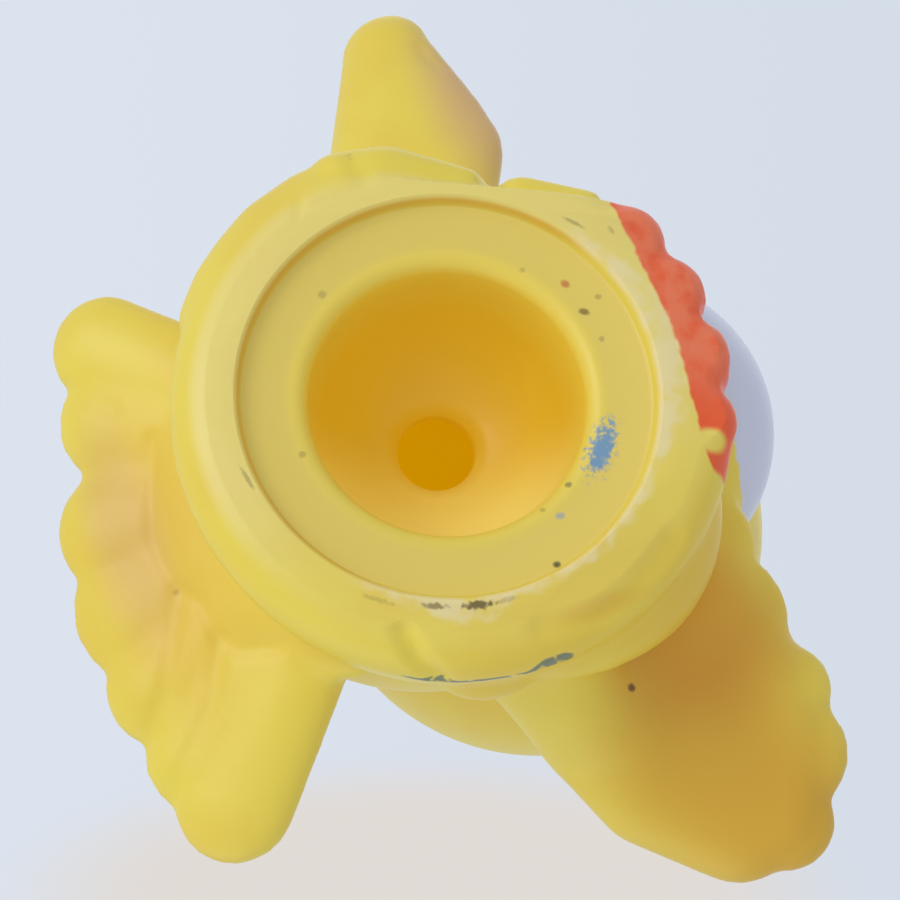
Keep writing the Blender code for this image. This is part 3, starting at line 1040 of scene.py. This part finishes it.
class RubberMaterial:
    """Builds the painted rubber from a finish and the hen's own sizes."""

    def __init__(self, finish: RubberFinish, underside: Underside, body: Body, head: Head) -> None:
        """Keep the finish and the forms that the paint follows.

        Args:
            finish: Colours and gloss.
            underside: Sizes of the disc and the cup.
            body: The body, for its hollow.
            head: The head, for the face and its hollow.
        """
        self.finish = finish
        self.plan = PaintPlan()
        self.underside = underside
        self.body = body
        self.head = head
        self.material = bpy.data.materials.new("painted yellow rubber")
        self.material.use_nodes = True
        self.graph = Graph(self.material)

    def _coordinates(self) -> None:
        """Millimetres from the foot's axis, as a vector and as its parts."""
        graph = self.graph
        coordinate = graph.node("ShaderNodeTexCoord")
        mapping = graph.node("ShaderNodeMapping")
        graph.feed(mapping.inputs["Vector"], coordinate.outputs["Object"])
        mapping.inputs["Scale"].default_value = (1.0 / MM,) * 3
        mapping.inputs["Location"].default_value = -FOOT_AXIS
        self.point = mapping.outputs["Vector"]
        parts = graph.node("ShaderNodeSeparateXYZ")
        graph.feed(parts.inputs[0], self.point)
        self.x, self.y, self.z = parts.outputs
        self.radius = graph.distance(self.x, self.y)
        self.angle = graph.math("ARCTAN2", self.x, graph.product(self.y, -1.0))
        self.wobble = self._spread(self.plan.wobble_noise)

    def _spread(self, noise: Pair) -> Socket:
        """Noise about zero, half a unit to each side."""
        return self.graph.math("SUBTRACT", self.graph.noise(self.point, *noise), 0.5)

    def _apart(self, centre: Point, half: Point, turn: float = 0.0) -> Socket:
        """How far a point is from a centre, in units of three half sizes.

        Args:
            centre: Centre in millimetres from the foot's axis.
            half: Half sizes in millimetres.
            turn: Turn about Z in radians.

        Returns:
            The distance, one at the half sizes.
        """
        graph = self.graph
        mapping = graph.node("ShaderNodeMapping", vector_type="TEXTURE")
        graph.feed(mapping.inputs["Vector"], self.point)
        mapping.inputs["Location"].default_value = centre
        mapping.inputs["Rotation"].default_value = (0.0, 0.0, turn)
        mapping.inputs["Scale"].default_value = half
        length = graph.node("ShaderNodeVectorMath", operation="LENGTH")
        graph.feed(length.inputs[0], mapping.outputs["Vector"])
        return length.outputs["Value"]

    def _bump(self, value: Socket, centre: float, half: float) -> Socket:
        """One at the centre of a value's range, falling smoothly to zero at the half width.

        Args:
            value: The value.
            centre: Middle of the range.
            half: Half width of the range.

        Returns:
            The mask.
        """
        graph = self.graph
        away = graph.math("ABSOLUTE", graph.math("SUBTRACT", value, centre))
        return graph.ramp(away, half, self.plan.band_core * half)

    def _slant(self, shares: Pair) -> Socket:
        """Distance along a level direction, given as its shares of X and of Y."""
        return self.graph.total(self.graph.product(self.x, shares[0]), self.graph.product(self.y, shares[1]))

    def _rubber(self) -> Socket:
        """The bare rubber with its soft random patches, and the patches of painted shade and other tones.

        Returns:
            The colour.
        """
        graph, finish, plan = self.graph, self.finish, self.plan
        mottled = graph.ramp(graph.noise(self.point, *plan.patch_noise), *plan.patch_fade)
        colour = graph.paint(linear(*finish.rubber), graph.product(mottled, plan.patch_share), finish.warm_tone_and_shade)
        # Patches of painted shade on the near wing, its root and fold by the foot and the far wing's front
        # edge, and warmer and pinker tones on the tail
        for patch in TONE_AND_SHADE_PATCHES:
            near = graph.ramp(self._apart(patch.centre, patch.half), *plan.place_fade)
            colour = graph.paint(colour, graph.product(near, patch.share), finish.hue(patch.hue))
        return colour

    def _ring(self, colour: Socket) -> Socket:
        """The flat ring with its painted sheen, the painted glint along the step's lip, the painted shade on
        the step's wall, and the sunk disc.

        Args:
            colour: The colour so far.

        Returns:
            The colour with the ring.
        """
        graph, finish, plan = self.graph, self.finish, self.plan
        step = self.underside.step_radius
        flat = graph.ramp(self.z, *plan.flat_fade)
        beyond = graph.ramp(self.radius, *shifted(plan.ring_fade, step))
        kept = graph.rest(graph.product(graph.ramp(self.x, *plan.pale_near_fade), plan.pale_near_loss))
        inner = graph.ramp(self.x, *plan.pale_far_fade)
        # Painted sheen: the flat ring paler, as a broad reflection leaves it, less on the near side
        colour = graph.paint(colour, graph.product(flat, beyond, kept, inner, plan.pale_share), finish.pale)
        # Painted highlight: a ragged glint along the step's lip, in a sector from the front round to one
        # side
        front = graph.product(self._bump(self.angle, *plan.front_band), plan.front_width)
        side = graph.product(self._bump(self.angle, *plan.side_band), plan.side_width)
        glint_breakup = graph.product(self._spread(plan.glint_breakup_noise), plan.glint_breakup_width)
        glint_edge = graph.total(front, side, glint_breakup, step + plan.glint_width)
        # Mask of the painted glint along the lip
        worn = graph.ramp(graph.math("SUBTRACT", self.radius, glint_edge), *plan.glint_fade)
        sector = graph.ramp(self.angle, *plan.glint_start)
        sector = graph.product(sector, graph.ramp(self.angle, *plan.glint_stop))
        soft = graph.ramp(graph.noise(self.point, *plan.glint_noise), *plan.glint_noise_fade)
        glint_strip = graph.product(flat, beyond, worn, soft, sector, plan.glint_share)
        colour = graph.paint(colour, glint_strip, finish.lip_glint)
        # Painted shade on the step's wall, outside the glint's sector
        wall = self._bump(self.radius, step + plan.riser_band[0], plan.riser_band[1])
        height = self._bump(self.z, *plan.riser_height)
        riser = graph.product(wall, height, graph.rest(sector), plan.riser_share)
        colour = graph.paint(colour, riser, finish.shade)
        sunk = graph.ramp(self.radius, *shifted(plan.disc_fade, step))
        return graph.paint(colour, graph.product(sunk, graph.ramp(self.z, *plan.disc_height)), finish.disc)

    def _cup(self, colour: Socket) -> Socket:
        """The cup's rounded lip, and its inside down to the hole in painted shade, a deeper orange that
        turns paler on the lower side as painted light.

        Args:
            colour: The colour so far.

        Returns:
            The colour with the cup.
        """
        graph, finish, plan = self.graph, self.finish, self.plan
        mouth = self.underside.cup_radius
        edge = self._bump(self.radius, mouth + plan.lip_band[0], plan.lip_band[1])
        lip = graph.product(edge, graph.ramp(self.z, *plan.lip_top), graph.ramp(self.z, *plan.lip_low))
        # Painted light: the cup's lower side, where light falls, turns paler
        lower = graph.ramp(self._slant(plan.cup_slant), *plan.cup_slant_fade)
        colour = graph.paint(colour, graph.product(lip, plan.lip_share), finish.rubber)
        # The cup's inside, painted shade as a deeper orange
        inside = graph.ramp(self.radius, *shifted(plan.cup_fade, mouth))
        sunk = graph.ramp(self.z, *shifted(plan.cup_start, self.underside.step_depth))
        self.deep = graph.product(inside, sunk, graph.ramp(self.z, *plan.cup_top))
        self.lit = graph.product(lip, graph.rest(lower))
        tone = graph.paint(linear(*finish.cup), lower, finish.cup_painted_light)
        return graph.mix(self.deep, colour, tone)

    def _toes(self, colour: Socket) -> Socket:
        """Orange paint over the toes, thin where it laps on the flat ring.

        Args:
            colour: The colour so far.

        Returns:
            The colour with the toes.
        """
        graph, finish, plan = self.graph, self.finish, self.plan
        square = graph.math("POWER", self.angle, 2.0)
        fourth = graph.math("POWER", square, 2.0)
        bend = graph.total(graph.product(square, plan.toe_bend[0]), graph.product(fourth, plan.toe_bend[1]))
        inner = graph.total(bend, plan.toe_radius, graph.product(self.wobble, plan.toe_jitter))
        outward = graph.ramp(graph.math("SUBTRACT", self.radius, inner), *plan.toe_edge_fade)
        start = graph.ramp(self.angle, *plan.toe_start)
        ragged = graph.total(self.angle, graph.product(self.wobble, plan.toe_stop_jitter))
        stop = graph.ramp(ragged, *plan.toe_stop)
        spot = graph.ramp(self._apart(plan.spot_centre, plan.spot_half, plan.spot_turn), *plan.spot_fade)
        painted = graph.product(outward, start, stop, spot, graph.ramp(self.z, *plan.toe_top))
        thin = graph.product(graph.ramp(self.z, *plan.thin_height), graph.ramp(self.angle, *plan.thin_angle))
        worn = graph.ramp(graph.noise(self.point, *plan.thin_noise), *plan.thin_noise_fade)
        tone = graph.paint(linear(*finish.toe_paint), graph.product(thin, worn), finish.toe_thin)
        return graph.mix(painted, colour, tone)

    def _breast(self, colour: Socket) -> Socket:
        """White paint on the breast above the toes, its bluish cast a painted reflection of the pale blue
        backdrop.

        Args:
            colour: The colour so far.

        Returns:
            The colour with the breast.
        """
        graph, plan = self.graph, self.plan
        apart = self._apart(plan.breast_centre, plan.breast_half)
        edge = graph.total(apart, graph.product(self.wobble, plan.breast_jitter))
        painted = graph.product(graph.ramp(edge, *plan.breast_fade), graph.ramp(self.y, *plan.breast_front))
        return graph.paint(colour, painted, self.finish.breast_paint_and_reflection)

    def _line(self, colour: Socket) -> Socket:
        """The worn blue line along the foot's edge on the near side, thick at both ends.

        Args:
            colour: The colour so far.

        Returns:
            The colour with the line.
        """
        graph, plan = self.graph, self.plan
        ends = (self._bump(self.angle, *plan.line_first), self._bump(self.angle, *plan.line_last))
        lifts = [graph.product(end, lift) for end, lift in zip(ends, plan.line_lifts)]
        growths = [graph.product(end, growth) for end, growth in zip(ends, plan.line_growth)]
        middle = graph.total(*lifts, plan.line_height)
        width = graph.total(*growths, plan.line_half)
        away = graph.math("ABSOLUTE", graph.math("SUBTRACT", self.z, middle))
        thick = graph.ramp(graph.math("SUBTRACT", away, width), *plan.line_fade)
        start = graph.ramp(self.angle, *plan.line_start)
        stop = graph.ramp(self.angle, *plan.line_stop)
        worn = graph.ramp(graph.noise(self.point, *plan.line_noise), *plan.line_noise_fade)
        outside = graph.ramp(self.radius, *plan.line_radius)
        painted = graph.product(thick, start, stop, worn, outside, plan.line_share)
        return graph.paint(colour, painted, self.finish.line_paint)

    def _face(self, colour: Socket) -> Socket:
        """Plain painted comb, beak and eyes on the hidden side.

        Args:
            colour: The colour so far.

        Returns:
            The colour with the face.
        """
        graph, finish, plan, head = self.graph, self.finish, self.plan, self.head
        raised = graph.ramp(self._apart(head.centre, (head.radius,) * 3), *plan.comb_fade)
        comb = graph.product(raised, graph.ramp(self.z, *plan.comb_height))
        colour = graph.paint(colour, comb, finish.toe_paint)
        beak_centre = (head.beak_tip[0], head.beak_tip[1], head.beak_tip[2] + plan.beak_lift)
        beak = graph.ramp(self._apart(beak_centre, plan.beak_half), *plan.beak_fade)
        colour = graph.paint(colour, beak, finish.toe_paint)
        aside, ahead, above = plan.eye_offset
        for side in (-1.0, 1.0):
            centre = (head.centre[0] + side * aside, head.centre[1] + ahead, head.centre[2] + above)
            eye = graph.ramp(self._apart(centre, plan.eye_half), *plan.eye_fade)
            colour = graph.paint(colour, eye, finish.eye_paint)
        return colour

    def _marks(self, colour: Socket) -> Socket:
        """Stains, scuffs and specks.

        Args:
            colour: The colour so far.

        Returns:
            The colour with the marks.
        """
        graph, plan = self.graph, self.plan
        rough = self._spread(plan.mark_noise)
        for mark in self.finish.marks:
            apart = self._apart(mark.centre, (mark.half[0], mark.half[1], plan.mark_height), mark.turn)
            edge = graph.total(apart, graph.product(rough, mark.broken * plan.mark_break))
            spot = graph.product(graph.ramp(edge, *plan.mark_fade), mark.strength)
            colour = graph.paint(colour, spot, mark.colour)
        return colour

    def _glow(self) -> Socket:
        """Painted light: an emission that stands in for the light coming through the thin rubber into the
        cup and the hollow.

        Returns:
            The colour of the painted glow.
        """
        graph, finish, plan = self.graph, self.finish, self.plan
        centre, half = self.body.trunk
        wall = self.underside.wall
        trunk = graph.ramp(self._apart(centre, tuple(size - wall for size in half)), *plan.hollow_fade)
        skull = graph.ramp(self._apart(self.head.centre, (self.head.radius - wall,) * 3), *plan.hollow_fade)
        hollow = graph.product(graph.math("MAXIMUM", trunk, skull), graph.ramp(self.z, *plan.hollow_height))
        aside = graph.ramp(self._slant(plan.glow_slant), *plan.glow_fade)
        through = graph.product(self.deep, graph.rest(graph.product(aside, plan.glow_loss)))
        through = graph.math("MAXIMUM", through, graph.product(self.lit, plan.lip_glow))
        light = graph.paint((0.0, 0.0, 0.0, 1.0), through, finish.cup_glow)
        return graph.paint(light, hollow, finish.hollow_glow)

    def build(self) -> bpy.types.Material:
        """Make the whole material.

        Returns:
            The painted rubber.
        """
        graph = self.graph
        self._coordinates()
        colour = self._cup(self._ring(self._rubber()))
        colour = self._line(colour)
        colour = self._toes(colour)
        colour = self._breast(colour)
        colour = self._face(colour)
        colour = self._marks(colour)
        shader = self.material.node_tree.nodes["Principled BSDF"]
        graph.feed(shader.inputs["Base Color"], colour)
        # Painted light: the glow through the thin rubber, given as emission
        graph.feed(shader.inputs["Emission Color"], self._glow())
        shader.inputs["Emission Strength"].default_value = 1.0
        shader.inputs["Roughness"].default_value = self.finish.roughness
        bump = graph.node("ShaderNodeBump")
        bump.inputs["Strength"].default_value = self.finish.grain_strength
        bump.inputs["Distance"].default_value = self.finish.grain_depth
        graph.feed(bump.inputs["Height"], graph.noise(self.point, *self.finish.grain_noise))
        graph.feed(shader.inputs["Normal"], bump.outputs["Normal"])
        return self.material


@dataclass(frozen=True)
class Blend:
    """A place where two forms flow into each other, softened more than the rest.

    The softening fades in from the edge of the place, faster with a larger rise.
    """

    centre: Point
    half: Point
    rounds: int
    rise: float = 2.5
    factor: float = 0.6

    def soften(self, skin: bpy.types.Object) -> None:
        """Smooth the skin here, fading out towards the edge of the place.

        Args:
            skin: The skin, still without its cuts.
        """
        group = skin.vertex_groups.new(name="blend")
        heart = place(self.centre)
        for vert in skin.data.vertices:
            offset = vert.co - heart
            away = math.sqrt(sum((part / (size * MM)) ** 2 for part, size in zip(offset, self.half)))
            if away < 1.0:
                group.add([vert.index], min(1.0, self.rise * (1.0 - away)), "REPLACE")
        apply_modifier(skin, "SMOOTH", factor=self.factor, iterations=self.rounds, vertex_group=group.name)
        skin.vertex_groups.clear()


@dataclass
class Hen:
    """The whole hen, grown together from its forms into one skin."""

    foot: Foot = field(default_factory=Foot)
    body: Body = field(default_factory=Body)
    head: Head = field(default_factory=Head)
    tail: Tail = field(default_factory=Tail)
    underside: Underside = field(default_factory=Underside)
    grooves: tuple[Groove, ...] = GROOVES
    blends: tuple[Blend, ...] = (
        Blend((40.0, -13.0, 29.0), (20.0, 17.0, 15.0), 90),
        Blend((-26.0, -13.0, 16.0), (9.0, 16.0, 10.0), 12),
        Blend((2.0, 38.0, 30.0), (36.0, 9.0, 7.0), 24),
    )
    voxel: float = 0.85
    smooth_rounds: int = 9
    smooth_factor: float = 0.5
    crease_angle: float = math.radians(35.0)

    def _grow(self, skin: bpy.types.Object) -> None:
        """Remesh the skin and soften it."""
        apply_modifier(skin, "REMESH", mode="VOXEL", voxel_size=self.voxel * MM)
        apply_modifier(skin, "SMOOTH", factor=self.smooth_factor, iterations=self.smooth_rounds)

    def _cut(self, skin: bpy.types.Object, tool: bpy.types.Object) -> None:
        """Cut the skin with a tool and remove the tool."""
        apply_modifier(skin, "BOOLEAN", operation="DIFFERENCE", solver="EXACT", object=tool)
        bpy.data.objects.remove(tool, do_unlink=True)

    def build(self) -> bpy.types.Object:
        """Model the skin.

        Returns:
            The finished skin, not yet painted.
        """
        forms = [self.foot.base(self.underside.step_radius)] + self.foot.toes()
        log.info("foot and toes: %d forms", len(forms))
        forms += self.body.forms() + self.head.forms()
        log.info("body and head: %d forms so far", len(forms))
        for wing in (NEAR_WING, FAR_WING):
            made = wing.forms()
            log.info("%s wing: %d forms", wing.side.value, len(made))
            forms += made
        forms += self.tail.forms()
        skin = joined("hen_skin", forms)
        self._grow(skin)
        for blend in self.blends:
            blend.soften(skin)
        for groove in self.grooves:
            groove.press(skin)
        log.info("skin: %d faces", len(skin.data.polygons))
        bpy.ops.object.select_all(action="DESELECT")
        below = (0.0, 0.0, -GROUND_BLOCK[2] / 2.0)
        bpy.ops.mesh.primitive_cube_add(size=1.0, location=below, scale=GROUND_BLOCK)
        self._cut(skin, freeze(bpy.context.object))
        self._cut(skin, self.underside.hollow(self.body, self.head))
        self._cut(skin, self.underside.cutter())
        log.info("underside cut: %d faces", len(skin.data.polygons))
        select_only(skin)
        bpy.ops.object.shade_smooth_by_angle(angle=self.crease_angle)
        return skin


@dataclass(frozen=True)
class PhotoCamera:
    """Where the photograph was taken from, in millimetres from the foot's axis."""

    eye: Point = (124.71, 71.93, -394.63)
    right: Point = (0.3210, -0.9444, -0.0710)
    up: Point = (-0.9047, -0.2836, -0.3179)
    lens: float = 124.66
    sensor: float = 36.0
    nearest: float = 0.01

    def build(self) -> None:
        """Add the camera and make it the scene's."""
        data = bpy.data.cameras.new("photo camera")
        data.lens = self.lens
        data.sensor_width = self.sensor
        data.clip_start = self.nearest
        camera = bpy.data.objects.new("photo camera", data)
        bpy.context.scene.collection.objects.link(camera)
        right = Vector(self.right).normalized()
        up = (Vector(self.up) - right * Vector(self.up).dot(right)).normalized()
        back = right.cross(up)
        turn = Matrix((right, up, back)).transposed()
        camera.matrix_world = Matrix.Translation(place(self.eye)) @ turn.to_4x4()
        bpy.context.scene.camera = camera


@dataclass(frozen=True)
class Softbox:
    """A square lamp, placed along the camera's right, up and back directions, in metres and watts."""

    name: str
    aside: Point
    size: float
    power: float


@dataclass
class Studio:
    """Pale floor, three softboxes and a pale backdrop, colours as read on a screen."""

    camera: PhotoCamera
    backdrop_left: Colour = (220, 227, 238)
    backdrop_right: Colour = (213, 221, 232)
    backdrop_low: Colour = (225, 219, 214)
    side_fade: Pair = (-0.16, 0.16)
    low_centre: Pair = (-0.008, -0.142)
    low_half: Pair = (0.135, 0.044)
    low_fade: Pair = (1.1, 0.6)
    floor_tone: Colour = (222, 224, 228)
    floor_size: float = 6.0
    floor_roughness: float = 0.9
    ambient: float = 0.58
    lamp_target: Point = (0.0, 0.0, 30.0)
    softboxes: tuple[Softbox, ...] = (
        Softbox("key softbox", (-0.70, 0.45, 0.70), 0.6, 3.6),
        Softbox("low softbox", (-0.40, -0.90, 0.25), 0.8, 1.3),
        Softbox("back softbox", (0.2, 0.3, -1.0), 1.0, 1.5),
    )

    def floor(self) -> bpy.types.Object:
        """A wide floor at the foot that is seen only from above.

        Returns:
            The floor.
        """
        bpy.ops.object.select_all(action="DESELECT")
        bpy.ops.mesh.primitive_plane_add(size=self.floor_size, location=(0.0, 0.0, 0.0))
        floor = bpy.context.object
        floor.name = "floor"
        bpy.ops.object.mode_set(mode="EDIT")
        bpy.ops.mesh.select_all(action="SELECT")
        bpy.ops.mesh.subdivide(number_cuts=2)
        bpy.ops.object.mode_set(mode="OBJECT")
        material = bpy.data.materials.new("pale floor")
        material.use_nodes = True
        graph = Graph(material)
        shader = material.node_tree.nodes["Principled BSDF"]
        shader.inputs["Base Color"].default_value = linear(*self.floor_tone)
        shader.inputs["Roughness"].default_value = self.floor_roughness
        clear = graph.node("ShaderNodeBsdfTransparent")
        geometry = graph.node("ShaderNodeNewGeometry")
        blend = graph.node("ShaderNodeMixShader")
        graph.feed(blend.inputs[0], geometry.outputs["Backfacing"])
        graph.feed(blend.inputs[1], shader.outputs[0])
        graph.feed(blend.inputs[2], clear.outputs[0])
        graph.feed(material.node_tree.nodes["Material Output"].inputs["Surface"], blend.outputs[0])
        floor.data.materials.append(material)
        floor.visible_diffuse = False
        floor.visible_glossy = False
        floor.visible_transmission = False
        floor.visible_shadow = False
        return floor

    def _lamp(self, softbox: Softbox) -> None:
        """Hang one softbox so that it shines at the hen.

        Args:
            softbox: The softbox, with its place as seen from the camera.
        """
        heart = place(self.lamp_target)
        right = Vector(self.camera.right).normalized()
        up = Vector(self.camera.up).normalized()
        back = right.cross(up)
        spot = heart + right * softbox.aside[0] + up * softbox.aside[1] + back * softbox.aside[2]
        data = bpy.data.lights.new(softbox.name, "AREA")
        data.size = softbox.size
        data.energy = softbox.power
        lamp = bpy.data.objects.new(softbox.name, data)
        bpy.context.scene.collection.objects.link(lamp)
        lamp.location = spot
        lamp.rotation_euler = (heart - spot).to_track_quat("-Z", "Y").to_euler()

    def world(self) -> None:
        """Pale backdrop for the camera and glossy rays, soft even light for the rest."""
        world = bpy.data.worlds.new("studio")
        bpy.context.scene.world = world
        world.use_nodes = True
        world.node_tree.nodes.clear()
        graph = Graph(world)
        ambient = graph.node("ShaderNodeBackground")
        ambient.inputs["Strength"].default_value = self.ambient
        ambient.inputs["Color"].default_value = (1.0, 1.0, 1.0, 1.0)
        coordinate = graph.node("ShaderNodeTexCoord")
        sides = []
        for axis in (self.camera.right, self.camera.up):
            along = graph.node("ShaderNodeVectorMath", operation="DOT_PRODUCT")
            graph.feed(along.inputs[0], coordinate.outputs["Generated"])
            along.inputs[1].default_value = Vector(axis).normalized()
            sides.append(along.outputs["Value"])
        across = graph.ramp(sides[0], *self.side_fade)
        tone = graph.paint(linear(*self.backdrop_left), across, self.backdrop_right)
        parts = []
        for side, middle, half in zip(sides, self.low_centre, self.low_half):
            parts.append(graph.math("DIVIDE", graph.math("SUBTRACT", side, middle), half))
        low = graph.ramp(graph.distance(*parts), *self.low_fade)
        tone = graph.paint(tone, low, self.backdrop_low)
        backdrop = graph.node("ShaderNodeBackground")
        graph.feed(backdrop.inputs["Color"], tone)
        rays = graph.node("ShaderNodeLightPath").outputs
        seen = graph.math("MAXIMUM", rays["Is Camera Ray"], rays["Is Transmission Ray"])
        seen = graph.math("MAXIMUM", seen, rays["Is Glossy Ray"])
        blend = graph.node("ShaderNodeMixShader")
        graph.feed(blend.inputs[0], seen)
        graph.feed(blend.inputs[1], ambient.outputs[0])
        graph.feed(blend.inputs[2], backdrop.outputs[0])
        output = graph.node("ShaderNodeOutputWorld")
        graph.feed(output.inputs["Surface"], blend.outputs[0])

    def build(self) -> bpy.types.Object:
        """Set up the whole studio.

        Returns:
            The floor.
        """
        self.world()
        for softbox in self.softboxes:
            self._lamp(softbox)
        bpy.context.scene.view_settings.view_transform = "Standard"
        return self.floor()


# Colours of the marks, as read on a screen
GREY = (116, 106, 70)
BROWN = (112, 86, 44)
DARK_BROWN = (84, 64, 36)
UMBER = (96, 52, 20)
RUST = (196, 92, 50)
SOOT = (60, 52, 40)
SLATE = (150, 156, 176)
BLUE = (96, 154, 204)

MARKS = (
    Mark((13.0, -17.6, 2.2), (1.6, 3.9), math.radians(-52.0), BLUE, 0.9, 0.45),
    Mark((20.4, -9.0, 2.2), (0.5, 0.7), 0.0, BLUE, 0.5, 0.15),
    Mark((-6.3, -21.9, 2.2), (0.5, 0.8), 0.6, BROWN, 0.75, 0.10),
    Mark((-10.9, -20.8, 2.2), (0.5, 0.7), 0.9, RUST, 0.7, 0.10),
    Mark((-7.8, -24.5, 2.2), (0.4, 0.5), 0.0, GREY, 0.4, 0.10),
    Mark((-1.8, -22.9, 2.2), (0.4, 0.4), 0.0, GREY, 0.4, 0.10),
    Mark((-14.6, -15.8, 2.2), (0.4, 0.4), 0.0, GREY, 0.3, 0.10),
    Mark((16.5, -11.6, 2.2), (0.45, 0.5), 0.0, GREY, 0.7, 0.10),
    Mark((18.8, -7.1, 2.2), (0.4, 0.4), 0.0, GREY, 0.4, 0.10),
    Mark((26.7, -6.3, 1.6), (0.5, 0.55), 0.0, SOOT, 0.85, 0.05),
    Mark((-19.3, 11.6, 2.6), (0.6, 0.6), 0.0, GREY, 0.35, 0.10),
    Mark((1.8, 21.3, 2.2), (0.5, 0.5), 0.0, GREY, 0.4, 0.10),
    Mark((27.7, 11.4, 0.6), (0.45, 1.7), 0.4, BROWN, 0.7, 0.30),
    Mark((29.3, 5.9, 0.6), (0.6, 2.1), 0.2, DARK_BROWN, 0.85, 0.30),
    Mark((29.8, 2.0, 0.4), (0.4, 1.5), 0.0, BROWN, 0.3, 0.30),
    Mark((24.6, 18.3, 0.2), (0.35, 2.2), 0.64, GREY, 0.25, 0.35),
    Mark((3.4, 29.6, 0.0), (1.9, 0.3), -0.21, GREY, 0.45, 0.20),
    Mark((-18.4, -24.4, 0.0), (1.5, 0.3), -0.77, GREY, 0.45, 0.20),
    Mark((-15.8, -29.0, 0.0), (0.7, 0.3), -0.3, BROWN, 0.3, 0.25),
    Mark((-37.7, 1.7, 5.0), (0.8, 0.8), 0.0, GREY, 0.25, 0.30),
    Mark((12.4, -45.4, 33.0), (1.4, 1.4), 0.0, SLATE, 0.5, 0.35),
    Mark((40.4, -15.6, 28.5), (0.6, 0.6), 0.0, UMBER, 0.85, 0.10),
    Mark((7.2, 41.0, 29.4), (0.5, 0.5), 0.0, BROWN, 0.3, 0.20),
)


def main() -> None:
    """Build the hen, paint it and set up the studio."""
    logging.basicConfig(level=logging.INFO, format="%(name)s: %(message)s")
    hen = Hen()
    skin = hen.build()
    finish = RubberFinish(marks=MARKS)
    material = RubberMaterial(finish, hen.underside, hen.body, hen.head).build()
    skin.data.materials.clear()
    skin.data.materials.append(material)
    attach(skin, "root")
    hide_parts("rubber_hen")
    log.info("hen skin: %d faces, painted", len(skin.data.polygons))
    camera = PhotoCamera()
    camera.build()
    floor = Studio(camera).build()
    log.info("studio ready")


if __name__ == "__main__":
    main()
